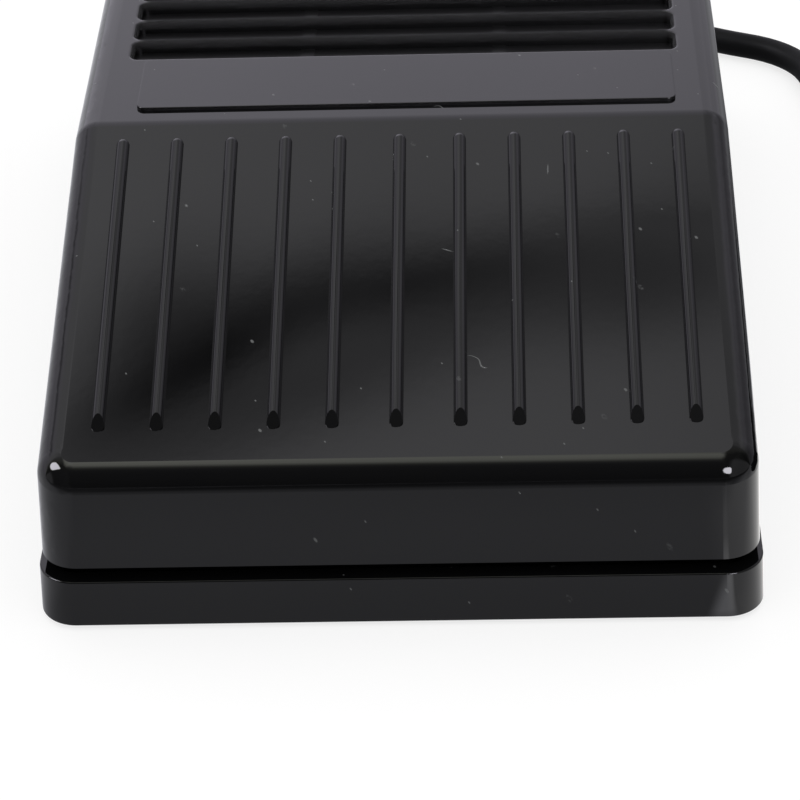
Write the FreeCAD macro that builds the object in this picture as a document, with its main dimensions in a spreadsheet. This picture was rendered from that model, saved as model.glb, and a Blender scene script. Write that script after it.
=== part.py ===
"""A wired foot switch: a hinged pedal cover over a base tray, its sensor board and its cord.

Millimetres. +Z is up, -Y is the front edge that the foot presses, and X runs across.
The origin lies on the surface that the feet stand on, under the middle of the body.
"""

import FreeCAD
import Part
import Sketcher
import math
import os
import re

V = FreeCAD.Vector

# The driving dimensions, in millimetres, degrees and counts.
SIZES = {
    # The body's outline.
    "body_width": 68.0,
    "body_length": 100.0,
    "corner_radius": 3.6,
    "wall_draft": 2.0,
    # The base tray, its inner lip and its rubber feet.
    "foot_proud": 0.5,
    "foot_radius": 4.0,
    "foot_recess": 0.8,
    "foot_inset": 8.0,
    "foot_slack": 0.1,
    "base_height": 4.95,
    "base_floor": 2.0,
    "base_wall": 1.8,
    "rim_round": 0.15,
    "lip_height": 3.0,
    "lip_wall": 1.2,
    "lip_clearance": 0.45,
    # The pedal cover.
    "cover_gap": 1.4,
    "cover_inset": 0.3,
    "cover_wall": 1.8,
    "cover_top": 2.2,
    "nose_height": 16.1,
    "panel_slope": 16.4,
    "crease_run": 44.2,
    "crease_round": 3.0,
    "edge_round": 2.6,
    "stiffener_depth": 3.0,
    "stiffener_wall": 1.4,
    "stiffener_spread": 10.0,
    # The grip ribs along the sloping panel.
    "rib_radius": 0.65,
    "rib_front": 6.05,
    "rib_back": 2.4,
    "rib_tip": 0.65,
    "rib_ramp": 21.0,
    "rib_pitch": 5.4,
    "rib_middle_pitch": 5.92,
    "ribs_each_side": 5,
    # The grooves across the rear.
    "groove_start": 13.8,
    "groove_width": 3.3,
    "groove_pitch": 4.45,
    "groove_length": 56.0,
    "groove_depth": 1.2,
    "groove_corner": 0.6,
    "groove_round": 0.55,
    "groove_count": 8,
    # The label plate.
    "label_width": 54.2,
    "label_depth": 10.3,
    "label_proud": 0.35,
    "label_corner": 0.8,
    "label_round": 0.1,
    "label_start": 2.4,
    "label_shift": 0.5,
    # The hinge.
    "hinge_height": 11.0,
    "hinge_from_rear": 8.5,
    "pin_radius": 1.5,
    "pin_clearance": 0.05,
    "tower_from_side": 8.5,
    "tower_wall": 4.0,
    "knuckle_radius": 4.0,
    "ear_gap": 0.5,
    "ear_wall": 3.0,
    "ear_mouth": 2.5,
    # The pedal's travel at its front edge, its rubber stops and its latches.
    "press_travel": 1.15,
    "stop_from_side": 9.5,
    "stop_from_front": 9.0,
    "bumper_radius": 3.0,
    "bumper_height": 2.0,
    "stop_slack": 0.05,
    "stop_radius": 2.5,
    "hook_middle": 10.0,
    "hook_width": 8.0,
    "hook_wall": 1.6,
    "hook_reach": 1.3,
    "hook_lip": 1.5,
    "hook_drop": 4.3,
    "hook_clearance": 0.4,
    "window_slack": 0.1,
    # The return springs.
    "spring_from_side": 9.5,
    "spring_from_front": 20.0,
    "spring_height": 12.0,
    "spring_radius": 3.6,
    "spring_wire": 0.8,
    "spring_turns": 7,
    "spring_end_gap": 0.45,
    "spigot_radius": 2.6,
    "spigot_height": 2.0,
    "seat_radius": 4.2,
    # The circuit board and its posts and screws.
    "board_width": 38.0,
    "board_depth": 28.0,
    "board_thick": 1.6,
    "board_from_front": 24.0,
    "board_stand": 4.0,
    "board_hole_inset": 3.0,
    "post_radius": 2.5,
    "screw_radius": 0.95,
    "screw_slack": 0.15,
    "fit_slack": 0.02,
    "screw_head_radius": 1.9,
    "screw_head_height": 1.3,
    "screw_length": 5.0,
    "drive_length": 1.9,
    "drive_width": 0.6,
    # The slot sensor and the vane that enters it.
    "sensor_width": 12.0,
    "sensor_depth": 5.0,
    "sensor_height": 10.5,
    "sensor_slot": 3.2,
    "sensor_slot_floor": 3.0,
    "sensor_from_front": 31.0,
    "vane_wall": 1.2,
    "vane_depth": 6.0,
    "vane_overlap": 2.6,
    "lead_size": 0.5,
    "lead_below": 1.2,
    # The other parts on the board.
    "chip_length": 8.7,
    "chip_width": 3.9,
    "chip_height": 1.5,
    "chip_stand": 0.1,
    "chip_pins": 7,
    "chip_pitch": 1.27,
    "chip_lead_reach": 0.9,
    "chip_lead_width": 0.4,
    "chip_lead_height": 0.5,
    "chip_from_middle": 9.5,
    "chip_from_edge": 13.0,
    "crystal_length": 11.0,
    "crystal_width": 4.6,
    "crystal_height": 3.5,
    "crystal_from_middle": 9.5,
    "crystal_from_edge": 12.5,
    "can_radius": 2.5,
    "can_height": 7.0,
    "can_from_middle": 13.6,
    "can_from_edge": 7.2,
    "ceramic_length": 2.0,
    "ceramic_width": 1.25,
    "ceramic_height": 0.9,
    "resistor_length": 1.6,
    "resistor_width": 0.8,
    "resistor_height": 0.45,
    "header_width": 10.4,
    "header_depth": 5.8,
    "header_height": 6.0,
    "header_wall": 0.8,
    "header_floor": 1.5,
    "header_inset": 3.5,
    "contact_pitch": 2.0,
    "contact_size": 0.6,
    "socket_rise": 2.0,
    "socket_slack": 0.1,
    # The cord, its strain relief and its clamp.
    "cord_radius": 1.5,
    "cord_length": 1800.0,
    "cord_height": 5.3,
    "wire_radius": 0.45,
    "wire_spread": 0.5,
    "wire_rise": 3.4,
    "wire_reach": 6.5,
    "wire_second_reach": 12.5,
    "wire_second_rise": 4.2,
    "wire_last_run": 6.0,
    "wire_stagger": 0.8,
    "sheath_start": 24.0,
    "relief_neck": 2.1,
    "relief_flange": 2.6,
    "relief_flange_wall": 1.2,
    "relief_tail": 3.3,
    "relief_tail_front": 2.3,
    "relief_tail_end": 1.95,
    "relief_block": 14.0,
    "relief_block_rise": 3.7,
    "notch_slack": 0.5,
    "clamp_from_rear": 17.0,
    "clamp_width": 19.0,
    "clamp_depth": 6.0,
    "clamp_height": 3.0,
    "clamp_screw_spread": 6.5,
    "cradle_width": 5.0,
    # The plug.
    "grip_width": 15.6,
    "grip_height": 8.0,
    "grip_length": 24.0,
    "grip_round": 1.6,
    "grip_rest": 0.05,
    "grip_tail_radius": 2.6,
    "grip_tail_length": 8.0,
    "grip_tail_wall": 0.4,
    "shell_width": 12.0,
    "shell_height": 4.5,
    "shell_length": 12.0,
    "shell_seat": 3.0,
    "shell_wall": 0.3,
    "tongue_width": 10.6,
    "tongue_height": 1.8,
    "tongue_setback": 0.6,
    "plug_contact_width": 1.0,
    "plug_contact_height": 0.2,
    "plug_contact_pitch": 2.3,
    # The coil of cord.
    "coil_turns_per_layer": 3.625,
    "coil_layers": 4,
    "coil_pitch": 3.55,
    # How far a cutting form runs past the face that it cuts, and how far a form sinks into what it joins.
    "overcut": 1.0,
    "root": 0.5,
}

# Places worked out from the sizes. Each is an expression over the names above and here.
PLACES = {
    "front": "-body_length / 2",
    "rear": "body_length / 2",
    "floor_top": "foot_proud + base_floor",
    "rim_top": "foot_proud + base_height",
    "cover_bottom": "rim_top + cover_gap",
    "cover_lean": "cover_inset + tan(wall_draft) * (cover_bottom - foot_proud)",
    "crease_place": "front + crease_run",
    "crease_top": "foot_proud + nose_height + crease_run * tan(panel_slope)",
    "inside_x": "body_width / 2 - cover_lean - cover_wall",
    "inside_y": "body_length / 2 - cover_lean - cover_wall",
    "lip_x": "inside_x - lip_clearance",
    "lip_y": "inside_y - lip_clearance",
    "lip_top": "rim_top + lip_height",
    "hinge_place": "rear - hinge_from_rear",
    "hinge_lever": "body_length - hinge_from_rear",
    "tower_outside": "body_width / 2 - tower_from_side",
    "ear_inside": "tower_outside + ear_gap",
    "ear_outside": "ear_inside + ear_wall",
    "stop_spread": "body_width / 2 - stop_from_side",
    "stop_place": "front + stop_from_front",
    "stop_travel": "press_travel * (hinge_lever - stop_from_front) / hinge_lever",
    "bumper_top": "floor_top + bumper_height",
    "spring_spread": "body_width / 2 - spring_from_side",
    "spring_place": "front + spring_from_front",
    "spring_top": "floor_top + spring_height",
    "board_place": "front + board_from_front",
    "board_bottom": "floor_top + board_stand",
    "board_top": "board_bottom + board_thick",
    "board_screw_x": "board_width / 2 - board_hole_inset",
    "sensor_place": "front + sensor_from_front",
    "sensor_top": "board_top + sensor_height",
    "header_place": "board_place + board_depth - header_inset",
    "socket_top": "board_top + header_height + socket_rise",
    "hook_place": "-lip_y + lip_wall + hook_clearance",
    "relief_inner": "lip_y - lip_wall",
    "relief_outer": "rear - cover_lean",
    "relief_end": "relief_outer + relief_flange_wall + relief_tail",
    "clamp_place": "rear - clamp_from_rear",
}

# The free stretch of cord, from the strain relief round behind the body and along its right side.
# Each point is X and Y, and its height above the height at which the cord lies on the floor.
LEAD_BEND = [
    (4.35, 70.2, 2.2),
    (11.9, 74.1, 0.6),
    (20.4, 73.7, 0.0),
    (34.5, 63.8, 0.0),
    (45.2, 57.4, 0.0),
    (49.1, 48.6, 0.0),
    (51.2, 38.2, 0.0),
    (54.6, 27.8, 0.0),
    (57.0, 16.6, 0.0),
    (58.2, 5.4, 0.0),
    (58.5, -6.0, 0.0),
]
LEAD_FIRST_RUN = 8.4
LEAD_LAST_RUN = 10.6
LEAD_REST_SLACK = 0.05

# The stretch from the coil to the plug: steps in X and Y, and the share of the way down to the plug.
TAIL_BEND = [
    (0.0, 11.0, 0.0),
    (-2.2, 23.0, 0.5),
    (-6.5, 34.5, 1.0),
]
TAIL_LAST_RUN = 10.0

# The wires from the socket back to the cord: place across the socket, place in the sheath.
WIRE_PLACES = [
    ("wire_red", -1.5, (-1, -1)),
    ("wire_white", -0.5, (-1, 1)),
    ("wire_green", 0.5, (1, 1)),
    ("wire_black", 1.5, (1, -1)),
]

# Places of the small chips: across from the board's middle, and back from its front edge.
CERAMIC_PLACES = [(-4.0, 16.5), (-8.0, 17.5), (2.5, 12.5), (14.0, 17.0), (-15.5, 7.5)]
RESISTOR_PLACES = [(-11.0, 5.0), (-11.0, 7.0), (9.0, 4.5), (9.0, 6.5), (0.0, 15.5), (0.0, 18.0)]

OUT = "parts"
PATH_SHARE = 0.45
GAP_SAMPLES = 12
TINY = 1e-9
# How near two places are when they count as one.
NEAR = 1e-3

doc = FreeCAD.newDocument("foot_switch")
sheet = doc.addObject("Spreadsheet::Sheet", "Sizes")
nodes = []


def fill_sheet():
    """One row for each driving dimension: its name and its number."""
    for row, (name, number) in enumerate(SIZES.items(), start=1):
        sheet.set(f"A{row}", name)
        sheet.set(f"B{row}", str(number))
        sheet.setAlias(f"B{row}", name)
    doc.recompute()


def size(name):
    """A driving dimension as a number."""
    return float(sheet.get(name))


def linked(text):
    """An expression with every place written out and every size pointed at the sheet."""
    def swap(match):
        word = match.group()
        if word in PLACES:
            return "(" + linked(PLACES[word]) + ")"
        return "Sizes." + word if word in SIZES else word
    return re.sub(r"[a-z_]+", swap, str(text))


def place(name):
    """A place as a number, read back from a point that is bound to it."""
    point = doc.getObject("place_" + name)
    if point is None:
        point = doc.addObject("Part::Vertex", "place_" + name)
        point.setExpression("X", linked(name))
        doc.recompute()
    return float(point.X)


def keep(item, label):
    """Name a finished sub-part and put it on the list of files to write."""
    item.Label = label
    nodes.append(item)
    return item


def block(name, x_span, y_span, z_span):
    """A box between two places on each axis."""
    item = doc.addObject("Part::Box", name)
    sides = (("Length", "x", x_span), ("Width", "y", y_span), ("Height", "z", z_span))
    for side, axis, (low, high) in sides:
        item.setExpression(side, linked(f"({high}) - ({low})"))
        item.setExpression("Placement.Base." + axis, linked(low))
    return item


def across(middle, width):
    """The two ends of a width about its middle."""
    return (f"({middle}) - ({width}) / 2", f"({middle}) + ({width}) / 2")


TURNS = {
    "x": FreeCAD.Rotation(V(0, 1, 0), 90),
    "y": FreeCAD.Rotation(V(1, 0, 0), -90),
    "z": FreeCAD.Rotation(),
}


def stand(item, axis, low, places):
    """Turn a round primitive onto an axis and set its low end and its middle."""
    item.Placement = FreeCAD.Placement(V(), TURNS[axis])
    others = [name for name in "xyz" if name != axis]
    item.setExpression("Placement.Base." + axis, linked(low))
    for name, value in zip(others, places):
        item.setExpression("Placement.Base." + name, linked(value))
    return item


def rod(name, radius, axis, span, places):
    """A cylinder along one axis between two places on it."""
    item = doc.addObject("Part::Cylinder", name)
    item.setExpression("Radius", linked(radius))
    item.setExpression("Height", linked(f"({span[1]}) - ({span[0]})"))
    return stand(item, axis, span[0], places)


def taper(name, low_radius, high_radius, axis, span, places):
    """A cone frustum along one axis between two places on it."""
    item = doc.addObject("Part::Cone", name)
    item.setExpression("Radius1", linked(low_radius))
    item.setExpression("Radius2", linked(high_radius))
    item.setExpression("Height", linked(f"({span[1]}) - ({span[0]})"))
    return stand(item, axis, span[0], places)


def fuse(name, items):
    """One solid from several that overlap."""
    item = doc.addObject("Part::MultiFuse", name)
    item.Shapes = items
    item.Refine = True
    return item


def cut(name, base, tools):
    """A solid less one or more others."""
    item = doc.addObject("Part::Cut", name)
    item.Base = base
    item.Tool = tools[0] if len(tools) == 1 else fuse(name + "_tools", tools)
    return item


def together(label, items):
    """Separate solids of one kind in one sub-part."""
    item = doc.addObject("Part::Compound", label)
    item.Links = items
    return keep(item, label)


def start_body(name):
    body = doc.addObject("PartDesign::Body", name)
    body.Label = name
    return body


def origin_item(body, role):
    return next(item for item in body.Origin.OriginFeatures if item.Role == role)


def new_sketch(body, name, role, offset="0"):
    """A sketch on one of the body's origin planes, moved along that plane's normal."""
    sketch = body.newObject("Sketcher::SketchObject", name)
    sketch.AttachmentSupport = [(origin_item(body, role), "")]
    sketch.MapMode = "FlatFace"
    sketch.setExpression("AttachmentOffset.Base.z", linked(offset))
    return sketch


def draw_polygon(sketch, points):
    """A closed outline whose corners are held at expressions measured from the sketch's origin."""
    first = sketch.GeometryCount
    count = len(points)
    turn = 2 * math.pi / count
    rough = [V(math.cos(turn * k), math.sin(turn * k), 0) for k in range(count)]
    for k in range(count):
        sketch.addGeometry(Part.LineSegment(rough[k], rough[(k + 1) % count]), False)
    for k in range(count):
        sketch.addConstraint(Sketcher.Constraint("Coincident", first + k, 2, first + (k + 1) % count, 1))
    for k, (across_place, up_place) in enumerate(points):
        for kind, value in (("DistanceX", across_place), ("DistanceY", up_place)):
            number = sketch.addConstraint(Sketcher.Constraint(kind, -1, 1, first + k, 1, 1.0))
            sketch.setExpression(f"Constraints[{number}]", linked(value))
    return sketch


def draw_rectangle(sketch, x_span, y_span):
    left, right = x_span
    low, high = y_span
    return draw_polygon(sketch, [(left, low), (right, low), (right, high), (left, high)])


def pad(body, name, sketch, length, draft=None):
    """Raise a sketch, leaning its walls inward by the draft."""
    item = body.newObject("PartDesign::Pad", name)
    item.Profile = sketch
    item.setExpression("Length", linked(length))
    if draft:
        item.setExpression("TaperAngle", linked(f"-({draft})"))
    doc.recompute()
    return item


def pocket(body, name, sketch, length, both_ways=False, backwards=False):
    """Cut a sketch into the body and check that something went."""
    before = body.Shape.Volume
    item = body.newObject("PartDesign::Pocket", name)
    item.Profile = sketch
    item.setExpression("Length", linked(length))
    item.Midplane = both_ways
    item.Reversed = backwards
    doc.recompute()
    if not body.Shape.Volume < before:
        raise RuntimeError(name + " cuts nothing")
    return item


def round_edges(body, name, picked, radius):
    """Round the edges of the body's last feature that a test picks."""
    base = body.Tip
    names = [f"Edge{k}" for k, edge in enumerate(base.Shape.Edges, start=1) if picked(edge)]
    if not names:
        raise RuntimeError(name + " finds no edge")
    item = body.newObject("PartDesign::Fillet", name)
    item.Base = (base, names)
    item.setExpression("Radius", linked(radius))
    doc.recompute()
    return item


def is_upright(edge):
    """Whether an edge runs up a wall."""
    ends = [vertex.Point for vertex in edge.Vertexes]
    return len(ends) == 2 and abs(ends[1].z - ends[0].z) > 0.9 * edge.Length


def middle_of(edge):
    return edge.valueAt((edge.FirstParameter + edge.LastParameter) / 2)


def is_level(edge, height):
    """Whether an edge lies flat at a height."""
    box = edge.BoundBox
    return abs(box.ZMin - height) < NEAR and abs(box.ZMax - height) < NEAR


def is_corner(edge, half_x, half_y):
    """Whether an upright edge stands near a corner of a rectangle."""
    spot = middle_of(edge)
    reach = size("lip_wall") / 2
    near = abs(abs(spot.x) - half_x) < reach and abs(abs(spot.y) - half_y) < reach
    return near and is_upright(edge)


# The base tray.


def make_tray_shell():
    """The tray's floor and outer wall, with the lip that stands inside the cover's skirt."""
    body = start_body("tray_shell")
    outline = new_sketch(body, "tray_outline", "XY_Plane", "foot_proud")
    draw_rectangle(outline, across("0", "body_width"), across("0", "body_length"))
    pad(body, "tray_block", outline, "base_height", "wall_draft")
    round_edges(body, "tray_corners", is_upright, "corner_radius")
    rim = place("rim_top")
    foot = size("foot_proud")
    round_edges(body, "tray_rims", lambda edge: is_level(edge, rim) or is_level(edge, foot), "rim_round")

    hollow = new_sketch(body, "tray_hollow_outline", "XY_Plane", "rim_top")
    draw_rectangle(hollow, across("0", "body_width - 2 * base_wall"),
                   across("0", "body_length - 2 * base_wall"))
    pocket(body, "tray_hollow", hollow, "base_height - base_floor")
    half_x = size("body_width") / 2 - size("base_wall")
    half_y = size("body_length") / 2 - size("base_wall")
    round_edges(body, "hollow_corners", lambda edge: is_corner(edge, half_x, half_y),
                "corner_radius - base_wall")

    lip = new_sketch(body, "lip_outline", "XY_Plane", "floor_top")
    draw_rectangle(lip, across("0", "2 * lip_x"), across("0", "2 * lip_y"))
    draw_rectangle(lip, across("0", "2 * (lip_x - lip_wall)"), across("0", "2 * (lip_y - lip_wall)"))
    pad(body, "lip_ring", lip, "lip_top - floor_top")
    lip_x = place("lip_x")
    lip_y = place("lip_y")
    round_edges(body, "lip_corners", lambda edge: is_corner(edge, lip_x, lip_y),
                "corner_radius - cover_wall")
    return body


def make_base_tray():
    """The tray with its hinge towers, posts, spigots, latch windows and cord exit."""
    solids = [make_tray_shell()]
    holes = []
    for side, mark in ((-1, "left"), (1, "right")):
        tower = (f"{side} * tower_outside - {(side + 1) // 2} * tower_wall",
                 f"{side} * tower_outside + {(1 - side) // 2} * tower_wall")
        solids.append(block("tower_" + mark, tower, across("hinge_place", "2 * knuckle_radius"),
                            ("floor_top - root", "hinge_height")))
        solids.append(rod("tower_top_" + mark, "knuckle_radius", "x", tower,
                          ("hinge_place", "hinge_height")))
        solids.append(rod("spring_spigot_" + mark, "spigot_radius", "z",
                          ("floor_top - root", "floor_top + spigot_height"),
                          (f"{side} * spring_spread", "spring_place")))
        holes.append(block("latch_window_" + mark,
                           across(f"{side} * hook_middle", "hook_width + 2 * hook_clearance"),
                           ("-lip_y - lip_clearance / 2", "-lip_y + lip_wall + lip_clearance / 2"),
                           ("floor_top", "hook_drop + hook_lip + window_slack")))
        for end, end_mark in ((-1, "front"), (1, "rear")):
            spot = (f"{side} * (body_width / 2 - foot_inset)", f"{end} * (body_length / 2 - foot_inset)")
            holes.append(rod(f"foot_recess_{mark}_{end_mark}", "foot_radius + foot_slack", "z",
                             ("foot_proud - overcut", "foot_proud + foot_recess"), spot))
            spot = (f"{side} * board_screw_x", board_screw_y(end))
            solids.append(rod(f"board_post_{mark}_{end_mark}", "post_radius", "z",
                              ("floor_top - root", "board_bottom"), spot))
            holes.append(rod(f"board_pilot_{mark}_{end_mark}", "screw_radius + fit_slack", "z",
                             ("board_top - screw_length", "board_top"), spot))
        spot = (f"{side} * clamp_screw_spread", "clamp_place")
        solids.append(rod("clamp_post_" + mark, "post_radius", "z",
                          ("floor_top - root", "cord_height"), spot))
        holes.append(rod("clamp_pilot_" + mark, "screw_radius + fit_slack", "z",
                         ("cord_height + clamp_height - screw_length", "cord_height + overcut"), spot))
    holes.append(rod("pin_bore", "pin_radius + fit_slack", "x",
                     across("0", "2 * (tower_outside + overcut)"), ("hinge_place", "hinge_height")))
    solids.append(block("cord_cradle", across("0", "cradle_width"), across("clamp_place", "clamp_depth"),
                        ("floor_top - root", "cord_height - cord_radius / 2")))
    holes.append(rod("cradle_groove", "cord_radius + fit_slack", "y",
                     across("clamp_place", "clamp_depth + 2 * overcut"), ("0", "cord_height")))
    solids.append(block("relief_block", across("0", "relief_block"), ("relief_inner", "relief_outer"),
                        ("floor_top - root", "cord_height + relief_block_rise")))
    through = ("relief_inner - overcut", "rear + overcut")
    behind = ("relief_outer", "rear + overcut")
    holes.append(rod("relief_bore", "relief_neck + fit_slack", "y", through, ("0", "cord_height")))
    holes.append(block("relief_mouth", across("0", "2 * (relief_neck + fit_slack)"), through,
                       ("cord_height", "cord_height + relief_block_rise + overcut")))
    holes.append(rod("relief_flange_room", "relief_flange + fit_slack", "y", behind, ("0", "cord_height")))
    holes.append(block("relief_flange_mouth", across("0", "2 * (relief_flange + fit_slack)"), behind,
                       ("cord_height", "lip_top")))
    keep(cut("base_tray", fuse("tray_solids", solids), holes), "base_tray")


def board_screw_y(end):
    """The place of the front or rear row of board screws."""
    inset = "board_hole_inset" if end < 0 else "board_depth - board_hole_inset"
    return f"board_place + {inset}"


def make_feet():
    """Four rubber discs in the tray's recesses."""
    feet = []
    for side, mark in ((-1, "left"), (1, "right")):
        for end, end_mark in ((-1, "front"), (1, "rear")):
            spot = (f"{side} * (body_width / 2 - foot_inset)", f"{end} * (body_length / 2 - foot_inset)")
            feet.append(rod(f"foot_{mark}_{end_mark}", "foot_radius", "z",
                            ("0", "foot_proud + foot_recess"), spot))
    together("rubber_feet", feet)


def make_hinge_pin():
    """The steel pin held in both towers, with an end out for each of the cover's ears."""
    length = "2 * (ear_outside - ear_gap / 2)"
    pin = rod("hinge_pin", "pin_radius", "x", across("0", length), ("hinge_place", "hinge_height"))
    keep(pin, "hinge_pin")


def make_bumpers():
    """Rubber pads that stop the cover before its skirt meets the tray."""
    pads = [rod("bumper_" + mark, "bumper_radius", "z", ("floor_top", "bumper_top"),
                (f"{side} * stop_spread", "stop_place")) for side, mark in ((-1, "left"), (1, "right"))]
    together("stop_bumpers", pads)


# The pedal cover.


def wedge(offset):
    """The corners, in Y and Z, of the space over the sloping panel, set lower by an offset."""
    top = f"crease_top - ({offset})"
    crease = f"crease_place + ({offset}) * tan(panel_slope / 2)"
    low = f"{top} - (({crease}) - (front - overcut)) * tan(panel_slope)"
    high = "crease_top + overcut"
    return [("front - overcut", low), (crease, top), (crease, high), ("front - overcut", high)]


def make_cover_block(name, inward, drop):
    """The cover's outer form, or its inner one set in by a wall and lowered by the top's thickness."""
    body = start_body(name)
    outline = new_sketch(body, name + "_outline", "XY_Plane", "cover_bottom")
    draw_rectangle(outline, across("0", f"body_width - 2 * (cover_lean + {inward})"),
                   across("0", f"body_length - 2 * (cover_lean + {inward})"))
    pad(body, name + "_pad", outline, f"crease_top - cover_bottom - ({drop})", "wall_draft")
    slope = new_sketch(body, name + "_slope", "YZ_Plane")
    draw_polygon(slope, wedge(drop))
    pocket(body, name + "_panel", slope, "body_width + 2 * overcut", both_ways=True)
    round_edges(body, name + "_corners", is_upright, f"corner_radius - ({inward})")
    return body


def faces_up(face):
    """Whether the middle of a face looks up."""
    low_u, high_u, low_v, high_v = face.ParameterRange
    return face.normalAt((low_u + high_u) / 2, (low_v + high_v) / 2).z > 0.9


def top_edges(shape):
    """The edges all round the top of the cover, without those across it at the crease."""
    tops = [face for face in shape.Faces if faces_up(face)]
    hashes = {}
    for face in tops:
        for edge in face.Edges:
            hashes.setdefault(edge.hashCode(), []).append(edge)
    return {code for code, edges in hashes.items() if len(edges) == 1}


def make_cover_outer():
    """The outer form with its rounded top edges and the grooves across its rear."""
    body = make_cover_block("cover_outer", "0", "0")
    top = place("crease_top")
    crease = place("crease_place")

    def is_crease(edge):
        return is_level(edge, top) and abs(middle_of(edge).y - crease) < NEAR

    round_edges(body, "crease_rounded", is_crease, "crease_round")
    codes = top_edges(body.Tip.Shape)
    round_edges(body, "cover_rounds", lambda edge: edge.hashCode() in codes, "edge_round")

    groove = new_sketch(body, "groove_outline", "XY_Plane", "crease_top")
    draw_rectangle(groove, across("0", "groove_length"),
                   ("crease_place + groove_start", "crease_place + groove_start + groove_width"))
    first = pocket(body, "groove_first", groove, "groove_depth")
    row = body.newObject("PartDesign::LinearPattern", "grooves")
    row.Originals = [first]
    row.Direction = (origin_item(body, "Y_Axis"), [""])
    row.setExpression("Length", linked("(groove_count - 1) * groove_pitch"))
    row.setExpression("Occurrences", linked("groove_count"))
    body.Tip = row
    doc.recompute()
    floor = top - size("groove_depth")
    half = size("groove_length") / 2
    start = crease + size("groove_start")

    def is_groove_corner(edge):
        spot = middle_of(edge)
        return is_upright(edge) and abs(abs(spot.x) - half) < NEAR and spot.z > floor

    def is_groove_rim(edge):
        box = edge.BoundBox
        inside = max(abs(box.XMin), abs(box.XMax)) < half + NEAR and box.YMin > start - NEAR
        return inside and is_level(edge, top)

    round_edges(body, "groove_corners", is_groove_corner, "groove_corner")
    round_edges(body, "groove_rims", is_groove_rim, "groove_round")
    return body


def panel_height(along):
    """The height of the panel's face at a place along the body."""
    return f"crease_top - (crease_place - ({along})) * tan(panel_slope)"


def make_grip_ribs():
    """Half-round ribs up the panel with round ends, ramped down at the front."""
    ribs = []
    reach = int(size("ribs_each_side"))
    lean = "90 - panel_slope"
    end = "front + rib_front"
    for number in range(-reach, reach + 1):
        side = (number > 0) - (number < 0)
        spot = f"{side} * (rib_middle_pitch + {max(abs(number) - 1, 0)} * rib_pitch)"
        start = f"{end} + rib_tip * cos(panel_slope)"
        finish = "crease_place - rib_back - rib_tip * cos(panel_slope)"
        spine = doc.addObject("Part::Cylinder", "rib_spine")
        spine.setExpression("Radius", linked("rib_radius"))
        spine.setExpression("Height", linked(f"(({finish}) - ({start})) / cos(panel_slope)"))
        tips = [doc.addObject("Part::Ellipsoid", "rib_tip") for along in (start, finish)]
        for tip in tips:
            tip.setExpression("Radius1", linked("rib_tip"))
            tip.setExpression("Radius2", linked("rib_radius"))
            tip.setExpression("Radius3", linked("rib_radius"))
        for item, along in ((spine, start), (tips[0], start), (tips[1], finish)):
            item.Placement = FreeCAD.Placement(V(), FreeCAD.Rotation(V(-1, 0, 0), 45))
            item.setExpression("Placement.Rotation.Angle", linked(lean))
            item.setExpression("Placement.Base.x", linked(spot))
            item.setExpression("Placement.Base.y", linked(along))
            item.setExpression("Placement.Base.z", linked(panel_height(along)))
            ribs.append(item)

    ramp = doc.addObject("Part::Box", "rib_ramps")
    ramp.Placement = FreeCAD.Placement(V(), FreeCAD.Rotation(V(1, 0, 0), 45))
    ramp.setExpression("Placement.Rotation.Angle", linked("panel_slope + rib_ramp"))
    ramp.setExpression("Length", linked("body_width"))
    ramp.setExpression("Width", linked("rib_radius / sin(rib_ramp) + overcut"))
    ramp.setExpression("Height", linked("2 * rib_radius"))
    ramp.setExpression("Placement.Base.x", linked("-body_width / 2"))
    ramp.setExpression("Placement.Base.y", linked(end))
    ramp.setExpression("Placement.Base.z", linked(panel_height(end)))
    return cut("grip_ribs", fuse("rib_solids", ribs), [ramp])


def make_cover_insides():
    """The ears, spring seats, stop posts, hooks, sensor vane and stiffeners under the cover's top."""
    roof = "crease_top"
    items = []
    for side, mark in ((-1, "left"), (1, "right")):
        ear = (f"{side} * ear_inside - {(1 - side) // 2} * ear_wall",
               f"{side} * ear_inside + {(side + 1) // 2} * ear_wall")
        items.append(block("ear_" + mark, ear, across("hinge_place", "2 * knuckle_radius"),
                           ("hinge_height", roof)))
        items.append(rod("ear_end_" + mark, "knuckle_radius", "x", ear, ("hinge_place", "hinge_height")))
        spot = (f"{side} * spring_spread", "spring_place")
        items.append(rod("spring_seat_" + mark, "seat_radius", "z", ("spring_top", roof), spot))
        items.append(rod("seat_spigot_" + mark, "spigot_radius", "z",
                         ("spring_top - spigot_height", roof), spot))
        items.append(rod("stop_post_" + mark, "stop_radius", "z",
                         ("bumper_top + stop_travel + stop_slack", roof),
                         (f"{side} * stop_spread", "stop_place")))
        wide = across(f"{side} * hook_middle", "hook_width")
        items.append(block("hook_blade_" + mark, wide, ("hook_place", "hook_place + hook_wall"),
                           ("hook_drop", roof)))
        items.append(block("hook_nose_" + mark, wide, ("hook_place - hook_reach", "hook_place + hook_wall"),
                           ("hook_drop", "hook_drop + hook_lip")))
        items.append(block("stiffener_" + mark, across(f"{side} * stiffener_spread", "stiffener_wall"),
                           ("crease_place", "inside_y - edge_round"),
                           ("crease_top - cover_top - stiffener_depth", roof)))
    items.append(block("vane", across("0", "vane_wall"), across("sensor_place", "vane_depth"),
                       ("sensor_top - vane_overlap", roof)))
    return items


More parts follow.
